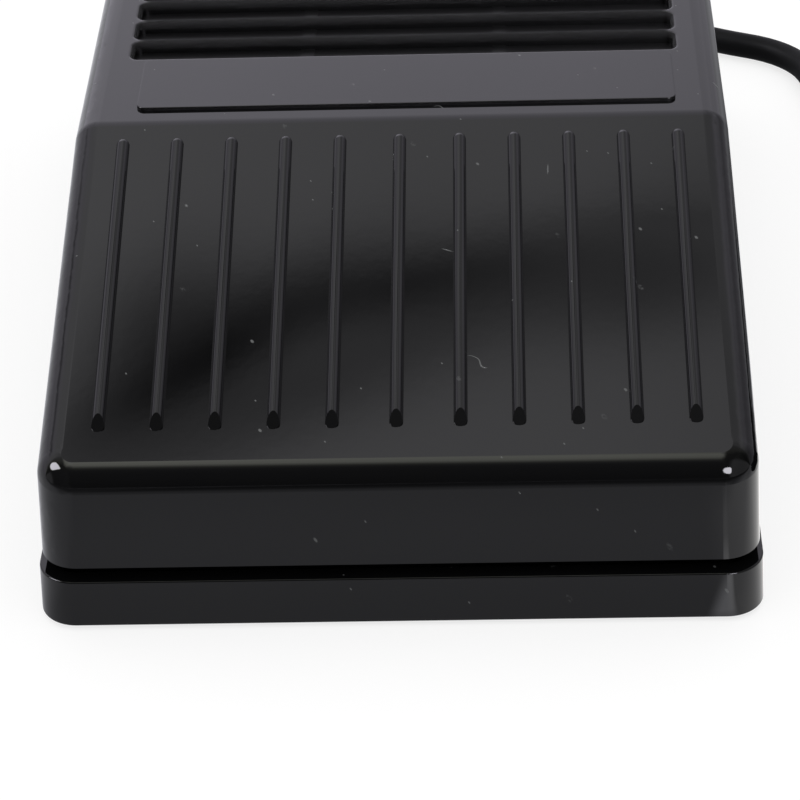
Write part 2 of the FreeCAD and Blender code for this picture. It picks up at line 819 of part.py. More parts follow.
def make_pedal_cover():
    """The hollow cover, with what hangs under its top trimmed to the middle of the top's thickness."""
    outer = make_cover_outer()
    hollow = make_cover_block("cover_hollow", "cover_wall", "cover_top")
    shell = cut("cover_shell", outer, [hollow])

    air = start_body("air_above")
    profile = new_sketch(air, "air_profile", "YZ_Plane")
    corners = wedge("cover_top / 2")
    draw_polygon(profile, corners[:2] + [("rear + overcut", "crease_top - cover_top / 2"),
                                         ("rear + overcut", "crease_top + overcut"), corners[3]])
    lid = pad(air, "air_pad", profile, "body_width + 2 * overcut")
    lid.Midplane = True
    insides = cut("cover_insides", fuse("inside_solids", make_cover_insides()), [air])

    solid = fuse("cover_solids", [shell, insides, make_grip_ribs()])
    holes = []
    for side, mark in ((-1, "left"), (1, "right")):
        ear = across(f"{side} * (ear_inside + ear_wall / 2)", "ear_wall + ear_gap")
        holes.append(rod("ear_bore_" + mark, "pin_radius + pin_clearance", "x", ear,
                         ("hinge_place", "hinge_height")))
        holes.append(block("ear_mouth_" + mark, ear, across("hinge_place", "ear_mouth"),
                           ("hinge_height - knuckle_radius - overcut", "hinge_height")))
    holes.append(block("cord_notch", across("0", "relief_block + 2 * notch_slack"),
                       ("inside_y - overcut", "rear"),
                       ("cover_bottom - overcut", "cord_height + relief_block_rise + notch_slack")))
    keep(cut("pedal_cover", solid, holes), "pedal_cover")


def make_label():
    """A thin plate on the level rear, in front of the grooves."""
    body = start_body("label_plate")
    outline = new_sketch(body, "label_outline", "XY_Plane", "crease_top")
    draw_rectangle(outline, across("label_shift", "label_width"),
                   ("crease_place + label_start", "crease_place + label_start + label_depth"))
    pad(body, "label_pad", outline, "label_proud")
    round_edges(body, "label_corners", is_upright_short, "label_corner")
    face = place("crease_top") + size("label_proud")
    round_edges(body, "label_rims", lambda edge: is_level(edge, face), "label_round")
    keep(body, "label_plate")


def is_upright_short(edge):
    """Whether a straight edge runs straight up."""
    box = edge.BoundBox
    return box.ZLength > NEAR and box.XLength < NEAR and box.YLength < NEAR


# Springs, wires and cord.


def biarc(start, start_way, end, end_way):
    """Two arcs from one point and heading to another that meet with one heading."""
    chord = end - start
    both = start_way + end_way
    a = 2 * (1 - start_way.dot(end_way))
    b = 2 * chord.dot(both)
    c = -chord.dot(chord)
    if abs(a) < TINY:
        reach = -c / b
    else:
        reach = (-b + math.sqrt(b * b - 4 * a * c)) / (2 * a)
    joint = (start + end + (start_way - end_way) * reach) * 0.5
    return [arc_from(start, start_way, joint), arc_from(joint, None, end, end_way)]


def arc_from(start, way, end, end_way=None):
    """The arc that leaves a point along a heading, or arrives along one."""
    chord = end - start
    heading = way if way is not None else end_way
    turn = 1 if way is not None else -1
    length = chord.Length
    along = chord * (1 / length)
    side = heading - along * heading.dot(along)
    if side.Length < TINY:
        return Part.LineSegment(start, end)
    side.normalize()
    angle = heading.getAngle(along)
    middle = (start + end) * 0.5 + side * (turn * length / 2 * math.tan(angle / 2))
    return Part.Arc(start, middle, end)


def unit(vector):
    return vector * (1 / vector.Length)


def sweep(edges, radius):
    """A round tube along joined edges."""
    path = Part.Wire([edge.toShape() if hasattr(edge, "toShape") else edge for edge in edges])
    first = path.OrderedEdges[0]
    start = first.valueAt(first.FirstParameter)
    way = first.tangentAt(first.FirstParameter)
    ring = Part.Wire([Part.Circle(start, way, radius).toShape()])
    shell = Part.BRepOffsetAPI.MakePipeShell(path)
    shell.add(ring)
    shell.build()
    shell.makeSolid()
    return shell.shape(), path.Length


def show(label, shape):
    """A sub-part whose form is worked out from the sheet's sizes."""
    item = doc.addObject("Part::Feature", label)
    item.Shape = shape
    item.Placement = FreeCAD.Placement()
    return keep(item, label)


def tube(label, points, radius):
    """Straight runs joined by arcs as large as the runs allow. Returns the tube's length."""
    edges = []
    radii = []
    last = points[0]
    for before, here, after in zip(points, points[1:], points[2:]):
        into = unit(here - before)
        out = unit(after - here)
        turn = into.getAngle(out)
        reach = PATH_SHARE * min((here - before).Length, (after - here).Length)
        bend = reach / math.tan(turn / 2)
        radii.append(bend)
        start = here - into * reach
        end = here + out * reach
        edges.append(Part.LineSegment(last, start))
        edges.append(arc_from(start, into, end))
        last = end
    edges.append(Part.LineSegment(last, points[-1]))
    solid, length = sweep(edges, radius)
    expected = math.pi * radius * radius * length
    print(f"{label}: length {length:.1f}, radii", " ".join(f"{bend:.1f}" for bend in radii),
          f"volume share {solid.Volume / expected:.4f}")
    show(label, solid)
    return length


def winding(label, spots, ways, radius, stub):
    """An unbroken tube through points and headings, with a straight stub at each end if asked."""
    edges = []
    if stub:
        edges.append(Part.LineSegment(spots[0] - ways[0] * stub, spots[0]))
    for k in range(len(spots) - 1):
        edges += biarc(spots[k], ways[k], spots[k + 1], ways[k + 1])
    if stub:
        edges.append(Part.LineSegment(spots[-1], spots[-1] + ways[-1] * stub))
    solid, length = sweep(edges, radius)
    gap = self_gap(edges, radius)
    expected = math.pi * radius * radius * length
    print(f"{label}: length {length:.1f}, least gap to itself {gap:.2f}, "
          f"volume share {solid.Volume / expected:.4f}")
    show(label, solid)
    return length


def self_gap(edges, radius):
    """The least gap between points of a wound tube that are more than half a turn apart."""
    spots = []
    for edge in edges:
        shape = edge.toShape()
        span = shape.LastParameter - shape.FirstParameter
        spots += [shape.valueAt(shape.FirstParameter + span * k / GAP_SAMPLES) for k in range(GAP_SAMPLES)]
    apart = 4 * GAP_SAMPLES
    least = min((spots[i] - spots[j]).Length
                for i in range(len(spots)) for j in range(i + apart, len(spots)))
    return least - 2 * radius


def smooth(share):
    """A rise from 0 to 1 that starts and ends level, and its rate."""
    share = min(max(share, 0.0), 1.0)
    return share * share * (3 - 2 * share), 6 * share * (1 - share)


def make_springs():
    """Two steel compression springs, with a closed turn at each end."""
    wire = size("spring_wire")
    ring = size("spring_radius")
    turns = int(size("spring_turns"))
    low = place("floor_top") + wire / 2
    rise = size("spring_height") - wire
    closed = wire + size("spring_end_gap")
    steps = 4 * turns
    for side, label in ((-1, "spring_left"), (1, "spring_right")):
        middle = V(side * place("spring_spread"), place("spring_place"), 0)
        spots = []
        ways = []
        for k in range(steps + 1):
            turn = k / 4
            share, rate = smooth_run(turn, turns, closed / rise)
            angle = 2 * math.pi * turn
            spots.append(middle + V(ring * math.cos(angle), ring * math.sin(angle), low + rise * share))
            lift = rise * rate / (2 * math.pi)
            ways.append(unit(V(-ring * math.sin(angle), ring * math.cos(angle), lift)))
        winding(label, spots, ways, wire / 2, 0)


def smooth_run(turn, turns, closed):
    """How far up a spring a turn is, and its rate: one closed turn, steady turns, one closed turn."""
    steady = (1 - 2 * closed) / (turns - 2)
    if turn <= 1:
        return closed * turn, closed
    if turn >= turns - 1:
        return 1 - closed * (turns - turn), closed
    return closed + steady * (turn - 1), steady


def make_coil(start, way, length):
    """The put-away length: layers of loops that spiral in and out again, climbing at each reversal."""
    radius = size("cord_radius")
    pitch = size("coil_pitch")
    layers = int(size("coil_layers"))
    per_layer = size("coil_turns_per_layer")
    total = layers * per_layer
    stub = 2 * radius
    mean = (length - 2 * stub) / (2 * math.pi * total)
    outer = mean + pitch * per_layer / 2
    middle = start + way * stub + V(outer, 0, 0)
    steps = layers * math.ceil(4 * per_layer)
    spots = []
    ways = []
    for k in range(steps + 1):
        turn = total * k / steps
        place_in_pair = turn / per_layer % 2
        inward = 1 - abs(1 - place_in_pair)
        sign = -1 if place_in_pair < 1 else 1
        at_end = abs(turn / per_layer - round(turn / per_layer)) < TINY
        ring = outer - pitch * per_layer * inward
        ring_rate = 0 if at_end else sign * pitch / (2 * math.pi)
        height = 0.0
        height_rate = 0.0
        for climb in range(1, layers):
            share, rate = smooth((turn - climb * per_layer) * 2 + 0.5)
            height += pitch * share
            height_rate += pitch * rate * 2 / (2 * math.pi)
        angle = math.pi + 2 * math.pi * turn
        outward = V(math.cos(angle), math.sin(angle), 0)
        round_way = V(-math.sin(angle), math.cos(angle), 0)
        spots.append(middle + outward * ring + V(0, 0, height))
        ways.append(unit(round_way * ring + outward * ring_rate + V(0, 0, height_rate)))
    print(f"coil: middle {middle.x:.1f} {middle.y:.1f}, mean radius {mean:.2f}, turns {total}")
    laid = winding("cord_coil", spots, ways, radius, stub)
    return laid, spots[-1] + ways[-1] * stub


def path_length(points):
    """The length of a route once its corners are rounded."""
    total = 0.0
    for before, here in zip(points, points[1:]):
        total += (here - before).Length
    for before, here, after in zip(points, points[1:], points[2:]):
        turn = (here - before).getAngle(after - here)
        reach = PATH_SHARE * min((here - before).Length, (after - here).Length)
        total -= 2 * reach - reach / math.tan(turn / 2) * turn
    return total


def make_cord():
    """The free stretch, the coil, and the stretch on to the plug. Returns where the plug begins."""
    radius = size("cord_radius")
    rest = radius + LEAD_REST_SLACK
    exit_point = V(0, place("relief_end"), size("cord_height"))
    lead = [exit_point, exit_point + V(0, LEAD_FIRST_RUN, 0)]
    lead += [V(x, y, rest + lift) for x, y, lift in LEAD_BEND]
    lead.append(lead[-1] + V(0, -LEAD_LAST_RUN, 0))
    lead_length = tube("cord_lead", lead, radius)

    climb = (size("coil_layers") - 1) * size("coil_pitch")
    drop = size("grip_height") / 2 + size("grip_rest") - rest - climb
    steps = [V(x, y, share * drop) for x, y, share in TAIL_BEND]
    tail = [V()] + steps
    tail.append(tail[-1] + V(0, TAIL_LAST_RUN, 0))
    left = size("cord_length") - lead_length - path_length(tail)
    coil_length, end = make_coil(lead[-1], V(0, -1, 0), left)
    tail = [end + step for step in tail]
    tail_length = tube("cord_tail", tail, radius)
    print(f"cord: {lead_length + coil_length + tail_length:.1f} from the strain relief to the plug")
    return tail[-1]


def make_plug(spot):
    """The plug lying beside the coil: a moulded grip, a folded steel shell, a tongue and four contacts."""
    grip_start = f"{spot.y:.6f} + grip_tail_length"
    face = f"{grip_start} + grip_length"
    middle = f"{spot.x:.6f}"
    height = "grip_height / 2 + grip_rest"
    body = start_body("grip_block")
    outline = new_sketch(body, "grip_outline", "XZ_Plane", f"-({face})")
    draw_rectangle(outline, across(middle, "grip_width"), across(height, "grip_height"))
    pad(body, "grip_pad", outline, "grip_length")
    round_edges(body, "grip_rounds", lambda edge: True, "grip_round")
    tail = taper("grip_tail", "cord_radius + grip_tail_wall", "grip_tail_radius", "y",
                 (f"{spot.y:.6f}", f"{grip_start} + root"), (middle, height))
    seat = block("shell_hole", across(middle, "shell_width"), (f"{face} - shell_seat", f"{face} + overcut"),
                 across(height, "shell_height"))
    keep(cut("plug_grip", fuse("grip_solids", [body, tail]), [seat]), "plug_grip")

    back = f"{face} - shell_seat"
    mouth = f"{face} + shell_length"
    shell = block("shell_block", across(middle, "shell_width"), (back, mouth),
                  across(height, "shell_height"))
    room = block("shell_room", across(middle, "shell_width - 2 * shell_wall"),
                 (f"{back} + shell_wall", f"{mouth} + overcut"),
                 across(height, "shell_height - 2 * shell_wall"))
    keep(cut("plug_shell", shell, [room]), "plug_shell")

    low = f"{height} - shell_height / 2 + shell_wall"
    tongue_top = f"{low} + tongue_height"
    keep(block("plug_tongue", across(middle, "tongue_width"),
               (f"{back} + shell_wall", f"{mouth} - tongue_setback"), (low, tongue_top)), "plug_tongue")
    contacts = []
    for number in range(4):
        spot_x = f"{middle} + {number - 1.5} * plug_contact_pitch"
        contacts.append(block("plug_contact", across(spot_x, "plug_contact_width"),
                              (face, f"{mouth} - 2 * tongue_setback"),
                              (tongue_top, f"{tongue_top} + plug_contact_height")))
    together("plug_contacts", contacts)


def make_strain_relief():
    """The moulded bush round the cord where it leaves the tray."""
    centre = ("0", "cord_height")
    solids = [
        rod("relief_inside", "relief_flange", "y",
            ("relief_inner - relief_flange_wall", "relief_inner"), centre),
        rod("relief_neck_rod", "relief_neck", "y", ("relief_inner - root", "relief_outer + root"), centre),
        rod("relief_outside", "relief_flange", "y",
            ("relief_outer", "relief_outer + relief_flange_wall"), centre),
        taper("relief_tail_cone", "relief_tail_front", "relief_tail_end", "y",
              ("relief_outer + root", "relief_end"), centre),
    ]
    bore = rod("relief_cord_bore", "cord_radius + fit_slack", "y",
               ("relief_inner - relief_flange_wall - overcut", "relief_end + overcut"), centre)
    keep(cut("strain_relief", fuse("relief_solids", solids), [bore]), "strain_relief")
    sheath = rod("inner_cable", "cord_radius", "y", ("sheath_start", "relief_end"), centre)
    keep(sheath, "inner_cable")


def make_clamp():
    """The bar that holds the cord down on its cradle, and its two screws."""
    bar = block("clamp_bar", across("0", "clamp_width"), across("clamp_place", "clamp_depth"),
                ("cord_height", "cord_height + clamp_height"))
    tools = [rod("clamp_groove", "cord_radius + fit_slack", "y",
                 across("clamp_place", "clamp_depth + 2 * overcut"), ("0", "cord_height"))]
    screws = []
    for side in (-1, 1):
        spot = (f"{side} * clamp_screw_spread", "clamp_place")
        tools.append(rod("clamp_hole", "screw_radius + screw_slack", "z",
                         ("cord_height - overcut", "cord_height + clamp_height + overcut"), spot))
        screws.append(make_screw("cord_height + clamp_height", spot))
    keep(cut("cable_clamp", bar, tools), "cable_clamp")
    together("clamp_screws", screws)


def make_screw(seat, spot):
    """A small pan-head screw with a cross drive, whose head sits on a face."""
    shank = rod("screw_shank", "screw_radius", "z", (f"{seat} - screw_length", f"{seat} + root"), spot)
    head = rod("screw_head", "screw_head_radius", "z", (seat, f"{seat} + screw_head_height"), spot)
    deep = (f"{seat} + screw_head_height / 2", f"{seat} + screw_head_height + overcut")
    arms = [
        block("drive_arm", across(spot[0], "drive_length"), across(spot[1], "drive_width"), deep),
        block("drive_arm", across(spot[0], "drive_width"), across(spot[1], "drive_length"), deep),
    ]
    return cut("screw", fuse("screw_solid", [shank, head]), arms)


# The circuit board and what stands on it.


def make_board():
    """The board on its four posts, and its screws."""
    plate = block("board_plate", across("0", "board_width"), ("board_place", "board_place + board_depth"),
                  ("board_bottom", "board_top"))
    holes = []
    screws = []
    for side in (-1, 1):
        for end in (-1, 1):
            spot = (f"{side} * board_screw_x", board_screw_y(end))
            holes.append(rod("board_hole", "screw_radius + screw_slack", "z",
                             ("board_bottom - overcut", "board_top + overcut"), spot))
            screws.append(make_screw("board_top", spot))
    for spot in sensor_lead_places() + header_pin_places():
        holes.append(rod("lead_hole", "lead_size", "z",
                         ("board_bottom - overcut", "board_top + overcut"), spot))
    keep(cut("circuit_board", plate, holes), "circuit_board")
    together("board_screws", screws)


def sensor_lead_places():
    """Two leads under each arm of the sensor."""
    return [(f"{side} * (sensor_width + sensor_slot) / 4", f"sensor_place + {end} * sensor_depth / 4")
            for side in (-1, 1) for end in (-1, 1)]


def header_pin_places():
    return [(f"{number - 1.5} * contact_pitch", "header_place") for number in range(4)]


def make_sensor():
    """A light barrier: two arms with a slot between them, over four leads."""
    housing = block("sensor_block", across("0", "sensor_width"), across("sensor_place", "sensor_depth"),
                    ("board_top", "sensor_top"))
    slot = block("sensor_gap", across("0", "sensor_slot"),
                 across("sensor_place", "sensor_depth + 2 * overcut"),
                 ("board_top + sensor_slot_floor", "sensor_top + overcut"))
    keep(cut("sensor_housing", housing, [slot]), "sensor_housing")
    leads = [block("sensor_lead", across(x, "lead_size"), across(y, "lead_size"),
                   ("board_bottom - lead_below", "board_top")) for x, y in sensor_lead_places()]
    together("sensor_leads", leads)


def make_controller():
    """The controller chip and its two rows of leads."""
    x = "chip_from_middle"
    y = "board_place + chip_from_edge"
    low = "board_top + chip_stand"
    keep(block("controller_chip", across(x, "chip_length"), across(y, "chip_width"),
               (low, f"{low} + chip_height")), "controller_chip")
    rise = ("board_top", "board_top + chip_lead_height")
    leads = []
    for number in range(int(size("chip_pins"))):
        wide = across(f"{x} + ({number} - (chip_pins - 1) / 2) * chip_pitch", "chip_lead_width")
        for side in (-1, 1):
            deep = across(f"{y} + {side} * (chip_width + chip_lead_reach) / 2", "chip_lead_reach")
            leads.append(block("chip_lead", wide, deep, rise))
    together("chip_leads", leads)


def make_small_parts():
    """The crystal, the can capacitor, the ceramic capacitors and the resistors."""
    x = "-crystal_from_middle"
    y = "board_place + crystal_from_edge"
    straight = "crystal_length - crystal_width"
    rise = ("board_top", "board_top + crystal_height")
    ends = [rod("crystal_end", "crystal_width / 2", "z", rise, (f"{x} + {side} * ({straight}) / 2", y))
            for side in (-1, 1)]
    bar = block("crystal_bar", across(x, straight), across(y, "crystal_width"), rise)
    keep(fuse("crystal_can", ends + [bar]), "crystal_can")
    keep(rod("electrolytic_capacitor", "can_radius", "z", ("board_top", "board_top + can_height"),
             ("can_from_middle", "board_place + can_from_edge")), "electrolytic_capacitor")
    for kind, label, spots in (("ceramic", "ceramic_capacitors", CERAMIC_PLACES),
                               ("resistor", "chip_resistors", RESISTOR_PLACES)):
        together(label, [block(kind, across(x, kind + "_length"),
                               across(f"board_place + {y}", kind + "_width"),
                               ("board_top", f"board_top + {kind}_height")) for x, y in spots])


def make_connector():
    """The header on the board, its pins, and the socket on the wires."""
    box = block("header_box", across("0", "header_width"), across("header_place", "header_depth"),
                ("board_top", "board_top + header_height"))
    room = block("header_room", across("0", "header_width - 2 * header_wall"),
                 across("header_place", "header_depth - 2 * header_wall"),
                 ("board_top + header_floor", "board_top + header_height + overcut"))
    pins = [block("header_pin", across(x, "contact_size"), across(y, "contact_size"),
                  ("board_bottom - lead_below", "board_top + header_height - header_wall"))
            for x, y in header_pin_places()]
    holes = [block("pin_hole", across(x, "contact_size"), across(y, "contact_size"),
                   ("board_top - overcut", "board_top + header_floor + overcut"))
             for x, y in header_pin_places()]
    keep(cut("board_header", box, [room] + holes), "board_header")
    together("header_pins", pins)

    socket = block("socket_block", across("0", "header_width - 2 * (header_wall + socket_slack)"),
                   across("header_place", "header_depth - 2 * (header_wall + socket_slack)"),
                   ("board_top + header_floor", "socket_top"))
    holes = [block("socket_hole", across(x, "contact_size"), across(y, "contact_size"),
                   ("board_top + header_floor - overcut", "board_top + header_height - header_wall"))
             for x, y in header_pin_places()]
    keep(cut("cable_socket", socket, holes), "cable_socket")


def make_wires():
    """Four wires up out of the socket, back over the board's edge and down to the sheath."""
    top = place("socket_top")
    start_y = place("header_place")
    sheath = size("sheath_start")
    height = size("cord_height")
    spread = size("wire_spread")
    reach = size("wire_reach")
    reach_on = size("wire_second_reach")
    for label, spot, (side, level) in WIRE_PLACES:
        x = spot * size("contact_pitch")
        lift = level * size("wire_stagger")
        end = V(side * spread, sheath, height + level * spread)
        points = [
            V(x, start_y, top),
            V(x, start_y, top + size("wire_rise") + lift),
            V(x * 0.8, start_y + reach + lift, top + 0.6 * size("wire_rise") + lift),
            V(x * 0.5, start_y + reach_on + lift, height + size("wire_second_rise") + lift),
            V(end.x, sheath - size("wire_last_run"), end.z),
            end,
        ]
        tube(label, points, size("wire_radius"))


def check_and_write():
    """Stop if any object failed, and otherwise write one file for each sub-part."""
    doc.recompute()
    for item in doc.Objects:
        bad = [state for state in item.State if state in ("Invalid", "Error")]
        if bad:
            raise RuntimeError(f"{item.Name} is {bad}")
    os.makedirs(OUT, exist_ok=True)
    for item in nodes:
        shape = item.Shape
        if shape.isNull() or not shape.isValid() or not shape.Solids:
            raise RuntimeError(f"{item.Label} has no valid solid")
        shape.exportStep(os.path.join(OUT, item.Label + ".step"))
    print(len(nodes), "sub-parts,", sum(len(item.Shape.Solids) for item in nodes), "solids")


fill_sheet()
make_base_tray()
make_feet()
make_hinge_pin()
make_bumpers()
make_board()
make_sensor()
make_controller()
make_small_parts()
make_connector()
make_wires()
make_strain_relief()
make_clamp()
make_springs()
make_pedal_cover()
make_label()
make_plug(make_cord())
check_and_write()
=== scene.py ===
"""The corded foot switch, dressed and lit: materials, springs, cord, camera, floor and studio light."""

import bpy
import math
from mathutils import Matrix, Vector


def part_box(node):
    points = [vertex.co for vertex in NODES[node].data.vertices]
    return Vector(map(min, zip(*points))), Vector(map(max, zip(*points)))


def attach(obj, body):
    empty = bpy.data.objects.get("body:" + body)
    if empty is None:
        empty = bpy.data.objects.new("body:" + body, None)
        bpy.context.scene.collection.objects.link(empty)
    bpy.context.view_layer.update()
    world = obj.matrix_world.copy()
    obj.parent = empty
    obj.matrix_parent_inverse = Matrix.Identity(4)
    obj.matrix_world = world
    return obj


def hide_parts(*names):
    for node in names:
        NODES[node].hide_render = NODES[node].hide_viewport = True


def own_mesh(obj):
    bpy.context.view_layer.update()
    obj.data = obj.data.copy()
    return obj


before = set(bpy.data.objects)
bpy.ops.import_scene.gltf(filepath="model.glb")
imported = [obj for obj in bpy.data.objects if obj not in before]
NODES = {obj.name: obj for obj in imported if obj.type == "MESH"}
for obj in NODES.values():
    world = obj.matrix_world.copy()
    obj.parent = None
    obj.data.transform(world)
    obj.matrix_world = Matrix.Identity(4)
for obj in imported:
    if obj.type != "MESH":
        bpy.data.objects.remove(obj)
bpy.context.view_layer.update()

MM = 0.001

# Where the camera stands, in metres, how it is turned, in degrees, and its focal length over the image's
# width. The sensor's width is in millimetres.
CAMERA_PLACE = (0.0101, -0.2821, 0.1824)
CAMERA_DOWN = 34.04
CAMERA_TURN = 2.32
CAMERA_ROLL = -2.23
FOCAL_SHARE = 3152.9 / 800
SENSOR_WIDTH = 36.0

# The cover's and the label's level tops, and how far the grooves with their rims reach, in metres.
COVER_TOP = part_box("label_plate")[0][2]
LABEL_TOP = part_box("label_plate")[1][2]
GROOVE_REACH = 28.7 * MM
GROOVES_FRONT = 7.3 * MM
GROOVES_REAR = 43.2 * MM

# The cord's radius in metres.
CORD_RADIUS = 1.5 * MM

# How the plane that marks are laid out on slants to the object's faces, in radians.
PLANE_SLANT = (0.55, 0.45)
# The colour of dust, hairs and scratches.
MARK_COLOUR = (0.32, 0.33, 0.33)


class Nodes:
    """A shorthand for building a node tree."""

    def __init__(self, tree):
        self.tree = tree
        tree.nodes.clear()

    def add(self, kind, **values):
        node = self.tree.nodes.new(kind)
        for name, value in values.items():
            setattr(node, name, value)
        return node

    def plug(self, socket, value):
        """Link an output to a socket, or set the socket's own value."""
        if isinstance(value, bpy.types.NodeSocket):
            self.tree.links.new(value, socket)
        else:
            socket.default_value = value

    def math(self, operation, *values):
        node = self.add("ShaderNodeMath", operation=operation)
        for socket, value in zip(node.inputs, values):
            self.plug(socket, value)
        return node.outputs[0]

    def product(self, *values):
        total = values[0]
        for value in values[1:]:
            total = self.math("MULTIPLY", total, value)
        return total

    def total(self, *values):
        total = values[0]
        for value in values[1:]:
            total = self.math("ADD", total, value)
        return total

    def ramp(self, value, low, high, from_value=0.0, to_value=1.0, kind="LINEAR"):
        """A value carried from one range to another, held at both ends."""
        node = self.add("ShaderNodeMapRange", interpolation_type=kind)
        self.plug(node.inputs["Value"], value)
        node.inputs["From Min"].default_value = low
        node.inputs["From Max"].default_value = high
        node.inputs["To Min"].default_value = from_value
        node.inputs["To Max"].default_value = to_value
        return node.outputs["Result"]

    def steps(self, value, stops):
        """A level that follows a list of places and levels, smoothly, and is held at both ends."""
        first, last = stops[0][0], stops[-1][0]
        top = max(level for _, level in stops)
        node = self.add("ShaderNodeValToRGB")
        self.plug(node.inputs[0], self.ramp(value, first, last))
        node.color_ramp.interpolation = "EASE"
        elements = node.color_ramp.elements
        while len(elements) < len(stops):
            elements.new(0.5)
        for element, (place, level) in zip(elements, stops):
            element.position = (place - first) / (last - first)
            element.color = (level / top, level / top, level / top, 1.0)
        return self.math("MULTIPLY", node.outputs[0], top)

    def mix_value(self, share, first, second):
        node = self.add("ShaderNodeMix", data_type="FLOAT")
        self.plug(node.inputs[0], share)
        self.plug(node.inputs[2], first)
        self.plug(node.inputs[3], second)
        return node.outputs[0]

    def mix(self, share, first, second):
        node = self.add("ShaderNodeMix", data_type="RGBA")
        self.plug(node.inputs["Factor"], share)
        for socket, value in ((node.inputs["A"], first), (node.inputs["B"], second)):
            self.plug(socket, value if isinstance(value, bpy.types.NodeSocket) else (*value, 1.0))
        return node.outputs["Result"]


class Shader(Nodes):
    """One material's nodes, in the object's own places."""

    def __init__(self, name):
        self.material = bpy.data.materials.new(name)
        self.material.use_nodes = True
        super().__init__(self.material.node_tree)
        self.surface = self.add("ShaderNodeBsdfPrincipled")
        self.output = self.add("ShaderNodeOutputMaterial")
        self.plug(self.output.inputs["Surface"], self.surface.outputs["BSDF"])
        self.place = self.add("ShaderNodeTexCoord").outputs["Object"]

    def stretched(self, sx, sy, sz):
        """The place with each axis stretched."""
        node = self.add("ShaderNodeVectorMath", operation="MULTIPLY")
        self.plug(node.inputs[0], self.place)
        node.inputs[1].default_value = (sx, sy, sz)
        return node.outputs[0]

    def noise(self, scale, detail=2.0, roughness=0.5, where=None):
        node = self.add("ShaderNodeTexNoise")
        self.plug(node.inputs["Vector"], self.place if where is None else where)
        node.inputs["Scale"].default_value = scale
        node.inputs["Detail"].default_value = detail
        node.inputs["Roughness"].default_value = roughness
        return node.outputs["Fac"]

    def bump(self, height, distance, strength=1.0, normal=None):
        node = self.add("ShaderNodeBump")
        self.plug(node.inputs["Height"], height)
        node.inputs["Distance"].default_value = distance
        node.inputs["Strength"].default_value = strength
        if normal is not None:
            self.plug(node.inputs["Normal"], normal)
        return node.outputs["Normal"]

    def slanting(self, angle, scale, where=None):
        """The place on a plane that slants to every face, turned by an angle and scaled both ways."""
        turned = self.add("ShaderNodeVectorRotate", rotation_type="EULER_XYZ")
        self.plug(turned.inputs["Vector"], self.place if where is None else where)
        turned.inputs["Rotation"].default_value = (*PLANE_SLANT, angle)
        node = self.add("ShaderNodeVectorMath", operation="MULTIPLY")
        self.plug(node.inputs[0], turned.outputs[0])
        node.inputs[1].default_value = (*scale, 0.0)
        return node.outputs[0]

    def cells(self, where, share, low, high):
        """Marks in the middle of a share of the cells that cover a plane."""
        node = self.add("ShaderNodeTexVoronoi", feature="F1", voronoi_dimensions="2D")
        self.plug(node.inputs["Vector"], where)
        node.inputs["Scale"].default_value = 1.0
        near = self.ramp(node.outputs["Distance"], low, high, 1.0, 0.0)
        picker = self.add("ShaderNodeSeparateColor")
        self.plug(picker.inputs[0], node.outputs["Color"])
        return self.math("MULTIPLY", near, self.math("LESS_THAN", picker.outputs[0], share))

    def specks(self, spacing, share, size):
        """Small separate specks: their spacing, the share of them that is there, and the size of each."""
        where = self.slanting(0.3, (1 / spacing, 1 / spacing))
        return self.cells(where, share, size / spacing * 0.5, size / spacing)

    def curled(self, scale, reach):
        """The place pushed about by a noise, so that straight lines across it curl."""
        node = self.add("ShaderNodeTexNoise")
        self.plug(node.inputs["Vector"], self.place)
        node.inputs["Scale"].default_value = scale
        node.inputs["Detail"].default_value = 0.0
        push = self.add("ShaderNodeVectorMath", operation="MULTIPLY_ADD")
        self.plug(push.inputs[0], node.outputs["Color"])
        push.inputs[1].default_value = (reach, reach, reach)
        self.plug(push.inputs[2], self.place)
        return push.outputs[0]

    def scratches(self, angle, spacing, share, half_width, half_length, where=None):
        """Short fine scratches along one direction."""
        stretch = half_width / half_length
        where = self.slanting(angle, (1 / spacing, stretch / spacing), where)
        return self.cells(where, share, half_width / spacing * 0.5, half_width / spacing)


def groove_satin(s):
    """The extra roughness in the grooves across the cover's rear, and on the ridges between them."""
    parts = s.add("ShaderNodeSeparateXYZ")
    s.plug(parts.inputs[0], s.place)
    x, y, z = parts.outputs
    beside = s.math("ABSOLUTE", x)
    below = s.product(s.ramp(z, COVER_TOP - 0.08 * MM, COVER_TOP - 0.01 * MM, 1.0, 0.0),
                      s.math("LESS_THAN", beside, GROOVE_REACH),
                      s.math("GREATER_THAN", y, GROOVES_FRONT), s.math("LESS_THAN", y, GROOVES_REAR))
    ridges = s.product(s.ramp(beside, GROOVE_REACH - 1.6 * MM, GROOVE_REACH - 0.8 * MM, 1.0, 0.0),
                       s.math("GREATER_THAN", y, GROOVES_FRONT + 0.5 * MM),
                       s.math("LESS_THAN", y, GROOVES_REAR - 0.5 * MM))
    return s.product(s.math("MAXIMUM", below, ridges),
                     s.ramp(z, COVER_TOP - 0.8 * MM, COVER_TOP - 0.5 * MM, 0.3, 0.85))


def edge_satin(s):
    """The extra roughness on the label's cut edge."""
    parts = s.add("ShaderNodeSeparateXYZ")
    s.plug(parts.inputs[0], s.place)
    return s.ramp(parts.outputs["Z"], LABEL_TOP - 0.1 * MM, LABEL_TOP - 0.04 * MM, 0.4, 0.0)


